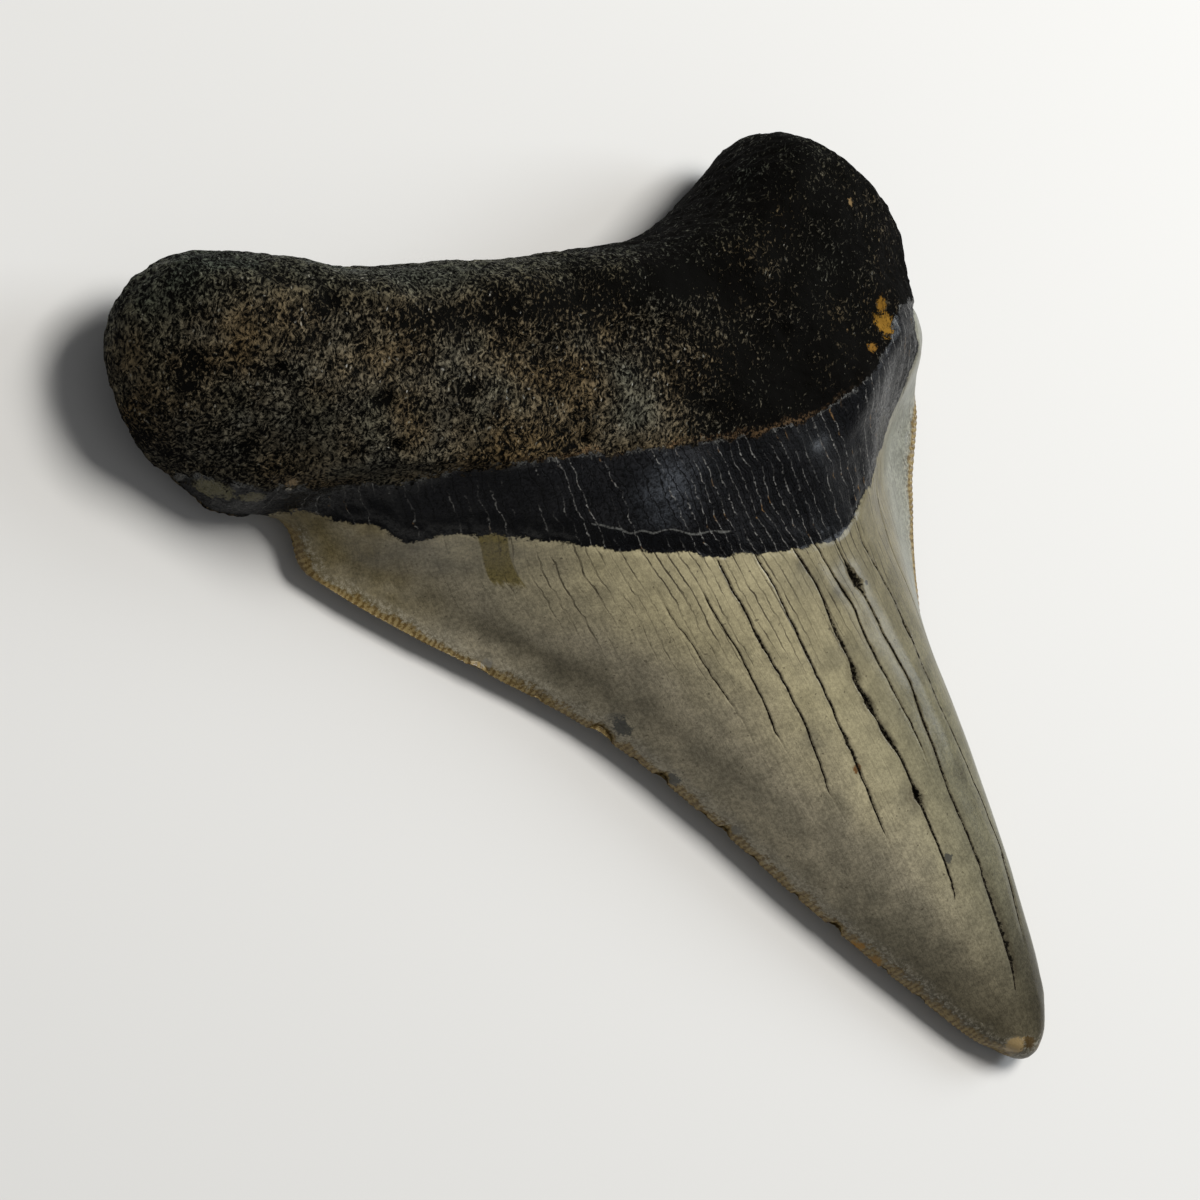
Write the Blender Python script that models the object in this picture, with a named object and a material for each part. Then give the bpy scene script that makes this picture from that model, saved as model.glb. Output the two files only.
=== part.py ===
"""Fossil tooth of a giant shark, lying on its flat outer (labial) face.

The rounded inner (lingual) face is up, the two lobes of the root point to +Y, the tip of the crown
to -Y, and +X is the side that the crown leans to. The origin is on the table, under the middle of
the box around the tooth.

The tooth is one closed surface made of two sheets, an upper one and a lower one, that meet along
the rim: the rounded margin of the root, the two cutting edges and the tip. A point of a sheet has
two shares, each from 0 to 1: "across" runs from the long cutting edge to the short one, and "down"
runs from the margin of the root to the tip.
"""

import bmesh
import bpy
import numpy as np

MM = 0.001

# Plan outline in millimetres, measured from the shoulder of the crown on its long side. The first
# number of a row is the share down the tooth, or across it for the root's margin.
ROOT_CORNER_LONG = (-2.4, 19.4)
ROOT_CORNER_SHORT = (83.6, 11.6)
TIP_LONG = (80.9, -79.0)
TIP_SHORT = (85.7, -78.9)
TIP_BULGE = 1.3
BULGE_STARTS = (0.93, 1.00)
LONG_SIDE = (
    (0.00, *ROOT_CORNER_LONG),
    (0.06, -5.2, 16.2),
    (0.13, -6.2, 11.5),
    (0.20, -5.0, 5.8),
    (0.27, -1.3, 1.0),
    (0.42, 16.6, -16.2),
    (0.62, 42.5, -36.6),
    (0.82, 63.0, -60.7),
    (0.95, 76.9, -76.4),
    (1.00, *TIP_LONG),
)
SHORT_SIDE = (
    (0.00, *ROOT_CORNER_SHORT),
    (0.10, 86.5, 7.0),
    (0.20, 87.1, 1.5),
    (0.27, 88.6, -3.4),
    (0.34, 90.0, -9.5),
    (0.42, 86.9, -18.6),
    (0.52, 84.3, -30.0),
    (0.62, 83.5, -41.0),
    (0.82, 86.2, -62.0),
    (0.94, 87.0, -73.6),
    (1.00, *TIP_SHORT),
)
ROOT_MARGIN = (
    (0.00, *ROOT_CORNER_LONG),
    (0.06, 2.6, 20.7),
    (0.14, 9.5, 19.5),
    (0.25, 21.5, 15.9),
    (0.55, 52.0, 12.9),
    (0.66, 61.0, 14.7),
    (0.75, 68.0, 18.8),
    (0.83, 73.2, 21.2),
    (0.92, 78.7, 17.3),
    (1.00, *ROOT_CORNER_SHORT),
)

# The origin, measured in the same way, lies under the middle of the tooth's box.
ORIGIN_X = 41.9
ORIGIN_Y = -29.4

# Heights above the table in millimetres, each against the share down the tooth.
RIM_HEIGHT = ((0.00, 9.5), (0.10, 9.0), (0.20, 7.0), (0.27, 3.8), (0.34, 2.6), (1.00, 2.4))
ROOT_CREST = ((0.00, 21.0), (0.20, 22.5), (0.35, 21.5), (0.50, 19.0))
CROWN_CREST = ((0.20, 17.0), (0.42, 17.6), (0.55, 15.4), (0.70, 12.3), (0.85, 8.8), (1.00, 4.2))
TABLE_GAP = ((0.00, 0.8), (0.09, -1.8), (0.24, -1.8), (0.38, 0.9), (0.60, 1.3), (0.80, 0.7),
             (0.90, -0.3), (0.96, -0.3), (1.00, 0.6))
ROOT_ARCH = 3.0
LUMP_HEIGHT = 0.35
GROOVE_DEPTH = 0.8

# The waves of the root's lumps: radians a millimetre along X and along Y, and where they start.
FIRST_WAVE = (0.47, 0.31, 0.0)
SECOND_WAVE = (-0.29, 0.71, 1.0)
CROSSING_WAVE = (0.38, 0.00, 2.0)

# Where the root ends on the upper face, as shares down the tooth against the share across it, and
# the width of the dark band over which it slopes down to the crown.
ROOT_END = ((0.00, 0.330), (0.20, 0.345), (0.50, 0.340), (0.75, 0.360), (0.88, 0.330), (1.00, 0.270))
BAND_WIDTH = ((0.00, 0.05), (0.30, 0.07), (0.60, 0.10), (0.80, 0.10), (1.00, 0.06))

# The sections. A pair is the shares, down the tooth or across it, between which something changes.
ROOT_POWER = 3.2
CROWN_POWER = 2.2
CROWN_FULLNESS = 0.62
CREST_LEAN = 0.16
LEAN_STARTS = (0.30, 0.60)
FLARE = 0.85
FLARE_STARTS = (0.28, 0.36)
FLARE_ENDS = (0.40, 0.70)
CROWN_OVERLAP = 0.03
MARGIN_ROUNDING = 0.10
TIP_ROUNDING = 0.025

# The long shallow groove over the root, which runs a little downwards as it goes across.
GROOVE_AT = 0.16
GROOVE_SLOPE = 0.04
GROOVE_WIDTH = 0.035
GROOVE_STARTS = (0.05, 0.25)
GROOVE_ENDS = (0.60, 0.80)

# The lower face: where it becomes the crown's, and how far the arch under the root reaches.
LOWER_CHANGE = (0.24, 0.40)
ARCH_SIDES = (0.04, 0.23)
ARCH_END = (0.30, 0.45)

# A chip out of the long edge just below the shoulder: shares down the tooth, and millimetres.
CHIP_FROM = 0.315
CHIP_DEEPEST = 0.336
CHIP_TO = 0.390
CHIP_DEPTH = 4.6

# The grid of each sheet, whose rows lie closer together at the root's margin.
COLUMNS = 44
ROWS = 52
ROW_CROWDING = 1.25
WELD = 0.002


def curve_through(points, where):
    """Values at where on the smooth curve through points, whose first number is its parameter."""
    points = np.asarray(points, float)
    knots = points[:, 0]
    values = points[:, 1:]
    slopes = np.empty_like(values)
    slopes[1:-1] = (values[2:] - values[:-2]) / (knots[2:] - knots[:-2])[:, None]
    slopes[0] = (values[1] - values[0]) / (knots[1] - knots[0])
    slopes[-1] = (values[-1] - values[-2]) / (knots[-1] - knots[-2])
    first = np.clip(np.searchsorted(knots, where, side="right") - 1, 0, len(knots) - 2)
    gap = (knots[first + 1] - knots[first])[..., None]
    share = (np.clip(where, knots[0], knots[-1]) - knots[first])[..., None] / gap
    return (
        (2 * share**3 - 3 * share**2 + 1) * values[first]
        + (share**3 - 2 * share**2 + share) * gap * slopes[first]
        + (3 * share**2 - 2 * share**3) * values[first + 1]
        + (share**3 - share**2) * gap * slopes[first + 1]
    )


def level(points, where):
    """The single value of such a curve at where."""
    return curve_through(points, where)[..., 0]


def ease(start, end, value):
    """0 before start, 1 after end, and a smooth rise between them."""
    share = np.clip((value - start) / (end - start), 0, 1)
    return share * share * (3 - 2 * share)


def round_over(share):
    """A quarter circle that rises from 0 to 1 as share goes from 0 to 1, and stays there."""
    return np.sqrt(1 - (1 - np.clip(share, 0, 1)) ** 2)


def chip(down):
    """How far the chip has eaten into the long edge: steep next to the root, then running out."""
    return CHIP_DEPTH * ease(CHIP_FROM, CHIP_DEEPEST, down) * (1 - ease(CHIP_DEEPEST, CHIP_TO, down))


def plan(across, down):
    """Plan position in millimetres: the four sides of the outline blended over the inside, and the
    end of the tip rounded outwards."""
    long_side = curve_through(LONG_SIDE, down)
    long_side[..., 0] += chip(down)
    short_side = curve_through(SHORT_SIDE, down)
    margin = curve_through(ROOT_MARGIN, across)
    corner_long = np.array(ROOT_CORNER_LONG)
    corner_short = np.array(ROOT_CORNER_SHORT)
    tip_long = np.array(TIP_LONG)
    tip_short = np.array(TIP_SHORT)
    across = across[..., None]
    down = down[..., None]
    tip = tip_long * (1 - across) + tip_short * across
    from_sides = long_side * (1 - across) + short_side * across
    from_ends = margin * (1 - down) + tip * down
    from_corners = (corner_long * (1 - across) + corner_short * across) * (1 - down) + tip * down
    bulge = TIP_BULGE * 4 * across * (1 - across) * ease(*BULGE_STARTS, down)
    place = from_sides + from_ends - from_corners - np.array((ORIGIN_X, ORIGIN_Y))
    return place - bulge * np.array((0, 1))


def blunt_section(across):
    """The root's section: full nearly to its ends, which are round."""
    return np.sqrt(np.clip(1 - np.abs(2 * across - 1) ** ROOT_POWER, 0, 1))


def crown_section(across, down):
    """The crown's section: a D with its crest toward the short edge, hollowed near the shoulders."""
    leaned = across - CREST_LEAN * across * (1 - across) * ease(*LEAN_STARTS, down)
    flare = FLARE * ease(*FLARE_STARTS, down) * (1 - ease(*FLARE_ENDS, down))
    return np.clip(1 - np.abs(2 * leaned - 1) ** CROWN_POWER, 0, 1) ** (CROWN_FULLNESS + flare)


def wave(place, x_rate, y_rate, start):
    """One sine wave over the plan."""
    return np.sin(x_rate * place[..., 0] + y_rate * place[..., 1] + start)


def lumps(place):
    """Low swellings of the root, about a centimetre apart, from waves that cross each other."""
    crossed = wave(place, *SECOND_WAVE) * wave(place, *CROSSING_WAVE)
    return LUMP_HEIGHT * (wave(place, *FIRST_WAVE) + crossed)


def upper_height(across, down):
    """Height in millimetres of the rounded upper face."""
    rim = level(RIM_HEIGHT, down)
    root_end = level(ROOT_END, across)
    band_end = root_end + level(BAND_WIDTH, across)
    on_crown = ease(root_end - CROWN_OVERLAP, band_end + CROWN_OVERLAP, down)
    margin = round_over(down / MARGIN_ROUNDING)
    tip = round_over((1 - down) / TIP_ROUNDING)
    body = blunt_section(across) * margin
    groove = np.exp(-((down - GROOVE_AT - GROOVE_SLOPE * across) / GROOVE_WIDTH) ** 2)
    groove = groove * ease(*GROOVE_STARTS, across) * (1 - ease(*GROOVE_ENDS, across))
    root = rim + (level(ROOT_CREST, down) - rim) * body
    root = root + (lumps(plan(across, down)) - GROOVE_DEPTH * groove) * body
    crown = rim + (level(CROWN_CREST, down) - rim) * crown_section(across, down) * tip
    return root * (1 - on_crown) + crown * on_crown


def lower_height(across, down):
    """Height in millimetres of the flat lower face, which touches the table in three places."""
    rim = level(RIM_HEIGHT, down)
    on_crown = ease(*LOWER_CHANGE, down)
    middle = 1 - ease(*ARCH_SIDES, np.abs(across - 0.5))
    gap = level(TABLE_GAP, down) + ROOT_ARCH * middle * (1 - ease(*ARCH_END, down))
    flat = blunt_section(across) * (1 - on_crown) + (1 - (2 * across - 1) ** 2) * on_crown
    rounding = round_over(down / MARGIN_ROUNDING) * round_over((1 - down) / TIP_ROUNDING)
    return np.maximum(rim + (gap - rim) * flat * rounding, 0)


def add_sheet(mesh, height):
    """Adds a square grid to the mesh and moves its points to the plan and the given height."""
    made = bmesh.ops.create_grid(mesh, x_segments=COLUMNS, y_segments=ROWS, size=0.5)
    corners = np.array([point.co for point in made["verts"]]) + 0.5
    across = (1 - np.cos(np.pi * corners[:, 0])) / 2
    down = corners[:, 1] ** ROW_CROWDING
    place = plan(across, down)
    up = height(across, down)
    for point, (x, y), z in zip(made["verts"], place, up):
        point.co = (x * MM, y * MM, z * MM)


def make_tooth():
    """The whole tooth: the two sheets, welded along the rim."""
    mesh = bmesh.new()
    add_sheet(mesh, upper_height)
    add_sheet(mesh, lower_height)
    bmesh.ops.remove_doubles(mesh, verts=mesh.verts, dist=WELD * MM)
    bmesh.ops.recalc_face_normals(mesh, faces=mesh.faces)
    data = bpy.data.meshes.new("tooth")
    mesh.to_mesh(data)
    mesh.free()
    data.shade_smooth()
    return bpy.data.objects.new("tooth", data)


def make_material():
    """Fossil enamel and root, as one warm grey stone colour."""
    material = bpy.data.materials.new("fossil tooth")
    material.use_nodes = True
    shader = material.node_tree.nodes["Principled BSDF"]
    shader.inputs["Base Color"].default_value = (0.36, 0.32, 0.23, 1.0)
    shader.inputs["Roughness"].default_value = 0.4
    shader.inputs["Metallic"].default_value = 0.0
    return material


for leftover in list(bpy.data.objects):
    bpy.data.objects.remove(leftover, do_unlink=True)

fossil = bpy.data.collections.new("fossil shark tooth")
bpy.context.scene.collection.children.link(fossil)
tooth = make_tooth()
tooth.data.materials.append(make_material())
fossil.objects.link(tooth)
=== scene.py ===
"""Fossil tooth of a giant shark, lying on its flat outer (labial) face on a pale table.

The rounded inner (lingual) face is up, the lobes of the root point to +Y and the tip to -Y. A point
of the tooth has two shares from 0 to 1: "across" runs from the long cutting edge to the short one,
and "down" runs from the margin of the root to the tip. Sizes are in millimetres until the mesh is
made.
"""

import bpy
import numpy as np
from mathutils import Matrix, Vector


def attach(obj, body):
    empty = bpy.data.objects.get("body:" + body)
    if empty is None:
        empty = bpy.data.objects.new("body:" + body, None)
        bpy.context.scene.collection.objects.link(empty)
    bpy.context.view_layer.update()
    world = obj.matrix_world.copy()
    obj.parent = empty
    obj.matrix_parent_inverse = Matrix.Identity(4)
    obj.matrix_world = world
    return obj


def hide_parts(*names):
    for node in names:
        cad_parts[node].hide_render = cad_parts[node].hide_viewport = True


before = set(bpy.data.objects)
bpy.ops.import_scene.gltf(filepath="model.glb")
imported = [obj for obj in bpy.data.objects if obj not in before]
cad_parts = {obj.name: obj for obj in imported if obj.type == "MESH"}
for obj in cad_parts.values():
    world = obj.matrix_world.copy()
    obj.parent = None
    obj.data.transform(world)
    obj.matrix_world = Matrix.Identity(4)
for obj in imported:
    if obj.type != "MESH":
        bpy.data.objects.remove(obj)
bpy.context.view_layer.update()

# The tooth: one natural piece, with a porous bone root, a dark glossy band under it and a crown of
# enamel over dentine, all turned to stone. Its form comes first: the outline seen from above, then
# the heights of its upper and lower sheets, which meet along the rim.
MM = 0.001

# Plan outline in millimetres, measured from the shoulder of the crown on its long side. The first
# number of a row is the share down the tooth, or across it for the root's margin.
ROOT_CORNER_LONG = (-2.4, 19.4)
ROOT_CORNER_SHORT = (83.6, 11.6)
TIP_LONG = (80.9, -79.0)
TIP_SHORT = (85.7, -78.9)
TIP_BULGE = 1.3
BULGE_STARTS = (0.93, 1.00)
LONG_SIDE = (
    (0.00, *ROOT_CORNER_LONG),
    (0.06, -5.2, 16.2),
    (0.13, -6.2, 11.5),
    (0.20, -5.0, 5.8),
    (0.27, -1.3, 1.0),
    (0.42, 16.6, -16.2),
    (0.62, 42.5, -36.6),
    (0.82, 63.0, -60.7),
    (0.95, 76.9, -76.4),
    (1.00, *TIP_LONG),
)
SHORT_SIDE = (
    (0.00, *ROOT_CORNER_SHORT),
    (0.10, 86.5, 7.0),
    (0.20, 87.1, 1.5),
    (0.27, 88.6, -3.4),
    (0.34, 90.0, -9.5),
    (0.42, 86.9, -18.6),
    (0.52, 84.3, -30.0),
    (0.62, 83.5, -41.0),
    (0.82, 86.2, -62.0),
    (0.94, 87.0, -73.6),
    (1.00, *TIP_SHORT),
)
ROOT_MARGIN = (
    (0.00, *ROOT_CORNER_LONG),
    (0.06, 2.6, 20.7),
    (0.14, 9.5, 19.5),
    (0.25, 21.5, 15.9),
    (0.55, 52.0, 12.9),
    (0.66, 61.0, 14.7),
    (0.75, 68.0, 18.8),
    (0.83, 73.2, 21.2),
    (0.92, 78.7, 17.3),
    (1.00, *ROOT_CORNER_SHORT),
)

# The origin, measured in the same way, lies under the middle of the tooth's box.
ORIGIN_X = 41.9
ORIGIN_Y = -29.4

# Heights above the table in millimetres, each against the share down the tooth.
RIM_HEIGHT = ((0.00, 9.5), (0.10, 9.0), (0.20, 7.0), (0.27, 3.8), (0.34, 2.6), (1.00, 2.4))
ROOT_CREST = ((0.00, 21.0), (0.20, 22.5), (0.35, 21.5), (0.50, 19.0))
CROWN_CREST = ((0.20, 17.0), (0.42, 17.6), (0.55, 15.4), (0.70, 12.3), (0.85, 8.8), (1.00, 4.2))
TABLE_GAP = ((0.00, 0.8), (0.09, -1.8), (0.24, -1.8), (0.38, 0.9), (0.60, 1.3), (0.80, 0.7),
             (0.90, -0.3), (0.96, -0.3), (1.00, 0.6))
ROOT_ARCH = 3.0
LUMP_HEIGHT = 0.35
GROOVE_DEPTH = 0.8

# The waves of the root's lumps: radians a millimetre along X and along Y, and where they start.
FIRST_WAVE = (0.47, 0.31, 0.0)
SECOND_WAVE = (-0.29, 0.71, 1.0)
CROSSING_WAVE = (0.38, 0.00, 2.0)

# Where the root ends on the upper face, as shares down the tooth against the share across it, and
# the width of the dark band over which it slopes down to the crown.
ROOT_END = ((0.00, 0.330), (0.20, 0.345), (0.50, 0.340), (0.75, 0.360), (0.88, 0.330), (1.00, 0.270))
BAND_WIDTH = ((0.00, 0.05), (0.30, 0.07), (0.60, 0.10), (0.80, 0.10), (1.00, 0.06))

# The sections. A pair is the shares, down the tooth or across it, between which something changes.
ROOT_POWER = 3.2
CROWN_POWER = 2.2
CROWN_FULLNESS = 0.62
CREST_LEAN = 0.16
LEAN_STARTS = (0.30, 0.60)
FLARE = 0.85
FLARE_STARTS = (0.28, 0.36)
FLARE_ENDS = (0.40, 0.70)
CROWN_OVERLAP = 0.03
MARGIN_ROUNDING = 0.10
TIP_ROUNDING = 0.025

# The long shallow groove over the root, which runs a little downwards as it goes across.
GROOVE_AT = 0.16
GROOVE_SLOPE = 0.04
GROOVE_WIDTH = 0.035
GROOVE_STARTS = (0.05, 0.25)
GROOVE_ENDS = (0.60, 0.80)

# The lower face: where it becomes the crown's, and how far the arch under the root reaches.
LOWER_CHANGE = (0.24, 0.40)
ARCH_SIDES = (0.04, 0.23)
ARCH_END = (0.30, 0.45)

# A chip out of the long edge just below the shoulder: shares down the tooth, and millimetres.
CHIP_FROM = 0.315
CHIP_DEEPEST = 0.336
CHIP_TO = 0.390
CHIP_DEPTH = 4.6


def curve_through(points, where):
    """Smooth curve through points, whose first number is its parameter: cubic pieces whose slope at
    each inner point is that of the line between its neighbours."""
    points = np.asarray(points, float)
    knots = points[:, 0]
    values = points[:, 1:]
    slopes = np.empty_like(values)
    slopes[1:-1] = (values[2:] - values[:-2]) / (knots[2:] - knots[:-2])[:, None]
    slopes[0] = (values[1] - values[0]) / (knots[1] - knots[0])
    slopes[-1] = (values[-1] - values[-2]) / (knots[-1] - knots[-2])
    first = np.clip(np.searchsorted(knots, where, side="right") - 1, 0, len(knots) - 2)
    gap = (knots[first + 1] - knots[first])[..., None]
    share = (np.clip(where, knots[0], knots[-1]) - knots[first])[..., None] / gap
    return (
        (2 * share**3 - 3 * share**2 + 1) * values[first]
        + (share**3 - 2 * share**2 + share) * gap * slopes[first]
        + (3 * share**2 - 2 * share**3) * values[first + 1]
        + (share**3 - share**2) * gap * slopes[first + 1]
    )


def level(points, where):
    """The single value of such a curve at where."""
    return curve_through(points, where)[..., 0]


def ease(start, end, value):
    """0 before start, 1 after end, and between them 3 t^2 - 2 t^3 of the share t that has passed."""
    share = np.clip((value - start) / (end - start), 0, 1)
    return share * share * (3 - 2 * share)


def round_over(share):
    """A quarter circle that rises from 0 to 1 as share goes from 0 to 1, and stays there."""
    return np.sqrt(1 - (1 - np.clip(share, 0, 1)) ** 2)


def chip(down):
    """How far the chip has eaten into the long edge: an ease up to its depth times an ease back."""
    return CHIP_DEPTH * ease(CHIP_FROM, CHIP_DEEPEST, down) * (1 - ease(CHIP_DEEPEST, CHIP_TO, down))


def plan(across, down):
    """Plan position: the blend of the two long sides plus the blend of the two ends, less the blend
    of the four corners, so that it meets all four sides. The end of the tip is pushed out by
    4 a (1 - a) of the bulge."""
    long_side = curve_through(LONG_SIDE, down)
    long_side[..., 0] += chip(down)
    short_side = curve_through(SHORT_SIDE, down)
    margin = curve_through(ROOT_MARGIN, across)
    corner_long = np.array(ROOT_CORNER_LONG)
    corner_short = np.array(ROOT_CORNER_SHORT)
    tip_long = np.array(TIP_LONG)
    tip_short = np.array(TIP_SHORT)
    across = across[..., None]
    down = down[..., None]
    tip = tip_long * (1 - across) + tip_short * across
    from_sides = long_side * (1 - across) + short_side * across
    from_ends = margin * (1 - down) + tip * down
    from_corners = (corner_long * (1 - across) + corner_short * across) * (1 - down) + tip * down
    bulge = TIP_BULGE * 4 * across * (1 - across) * ease(*BULGE_STARTS, down)
    place = from_sides + from_ends - from_corners - np.array((ORIGIN_X, ORIGIN_Y))
    return place - bulge * np.array((0, 1))


def blunt_section(across):
    """The root's section: the square root of 1 less a high power of the distance from the middle."""
    return np.sqrt(np.clip(1 - np.abs(2 * across - 1) ** ROOT_POWER, 0, 1))


def crown_section(across, down):
    """The crown's section: 1 less a power of the distance from the crest, raised to a power of its
    own that is larger near the shoulders, where the section is hollow."""
    leaned = across - CREST_LEAN * across * (1 - across) * ease(*LEAN_STARTS, down)
    flare = FLARE * ease(*FLARE_STARTS, down) * (1 - ease(*FLARE_ENDS, down))
    return np.clip(1 - np.abs(2 * leaned - 1) ** CROWN_POWER, 0, 1) ** (CROWN_FULLNESS + flare)


def wave(place, x_rate, y_rate, start):
    """Sine of a x + b y + c."""
    return np.sin(x_rate * place[..., 0] + y_rate * place[..., 1] + start)


def lumps(place):
    """Low swellings of the root: one wave plus the product of two others that cross."""
    crossed = wave(place, *SECOND_WAVE) * wave(place, *CROSSING_WAVE)
    return LUMP_HEIGHT * (wave(place, *FIRST_WAVE) + crossed)


def upper_height(across, down):
    """Height of the rounded inner face: the rim plus the crest's height times the root's section or
    the crown's, changed over from one to the other along the dark band."""
    rim = level(RIM_HEIGHT, down)
    root_end = level(ROOT_END, across)
    band_end = root_end + level(BAND_WIDTH, across)
    on_crown = ease(root_end - CROWN_OVERLAP, band_end + CROWN_OVERLAP, down)
    margin = round_over(down / MARGIN_ROUNDING)
    tip = round_over((1 - down) / TIP_ROUNDING)
    body = blunt_section(across) * margin
    groove = np.exp(-((down - GROOVE_AT - GROOVE_SLOPE * across) / GROOVE_WIDTH) ** 2)
    groove = groove * ease(*GROOVE_STARTS, across) * (1 - ease(*GROOVE_ENDS, across))
    root = rim + (level(ROOT_CREST, down) - rim) * body
    root = root + (lumps(plan(across, down)) - GROOVE_DEPTH * groove) * body
    crown = rim + (level(CROWN_CREST, down) - rim) * crown_section(across, down) * tip
    return root * (1 - on_crown) + crown * on_crown


def lower_height(across, down):
    """Height of the flat outer face: the rim sunk to the table's gap over a blunt section, with an
    arch under the middle of the root, and never below the table."""
    rim = level(RIM_HEIGHT, down)
    on_crown = ease(*LOWER_CHANGE, down)
    middle = 1 - ease(*ARCH_SIDES, np.abs(across - 0.5))
    gap = level(TABLE_GAP, down) + ROOT_ARCH * middle * (1 - ease(*ARCH_END, down))
    flat = blunt_section(across) * (1 - on_crown) + (1 - (2 * across - 1) ** 2) * on_crown
    rounding = round_over(down / MARGIN_ROUNDING) * round_over((1 - down) / TIP_ROUNDING)
    return np.maximum(rim + (gap - rim) * flat * rounding, 0)


def place_on(across, down, upper):
    """Place of the points on the upper sheet where upper is 1, and on the lower one where it is 0."""
    height = np.where(upper > 0, upper_height(across, down), lower_height(across, down))
    return np.concatenate((plan(across, down), height[..., None]), axis=-1)


# Noise, from which the small irregularities of the tooth are made. A noise takes the size of its
# swellings in millimetres, and its salt sets its pattern apart from the others.
SEED = 7
TABLE_SIZE = 4096
MIXERS = (73856093, 19349663, 83492791, 2654435)
MIXER_SHIFT = 13
GRAIN_SCATTER = 0.45
FAR = 9.0
random_values = np.random.default_rng(SEED).uniform(-1, 1, TABLE_SIZE)


def pick(corner, salt):
    """A random value from -1 to 1 for each whole-numbered corner, from a table by mixing its bits."""
    x, y, z = np.moveaxis(corner.astype(np.int64), -1, 0)
    mixed = x * MIXERS[0] ^ y * MIXERS[1] ^ z * MIXERS[2] ^ salt * MIXERS[3]
    return random_values[(mixed ^ mixed >> MIXER_SHIFT) & (TABLE_SIZE - 1)]


def cloud(place, size, salt=0):
    """Smooth noise from -1 to 1: random values at the corners of cubes of this size, blended."""
    spot = place / size
    corner = np.floor(spot)
    part = spot - corner
    part = part * part * (3 - 2 * part)
    total = 0
    for step in np.ndindex(2, 2, 2):
        weight = np.prod(np.where(step, part, 1 - part), axis=-1)
        total = total + pick(corner + step, salt) * weight
    return total


def rough(place, size, layers, salt=0):
    """Several such noises added up, each half as large and half as strong as the one before."""
    return sum(cloud(place, size / 2**n, salt + n) / 2**n for n in range(layers))


def grains(place, size, salt=0):
    """Distance to the nearest of the grain centres, one at a random spot in each cube of this size."""
    spot = place / size
    corner = np.floor(spot)
    nearest = np.full(len(place), FAR)
    for step in np.ndindex(3, 3, 3):
        cube = corner + step - 1
        scatter = np.stack([pick(cube, salt + n) for n in range(3)], axis=-1)
        centre = cube + 0.5 + GRAIN_SCATTER * scatter
        nearest = np.minimum(nearest, np.linalg.norm(spot - centre, axis=-1))
    return nearest


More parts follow.
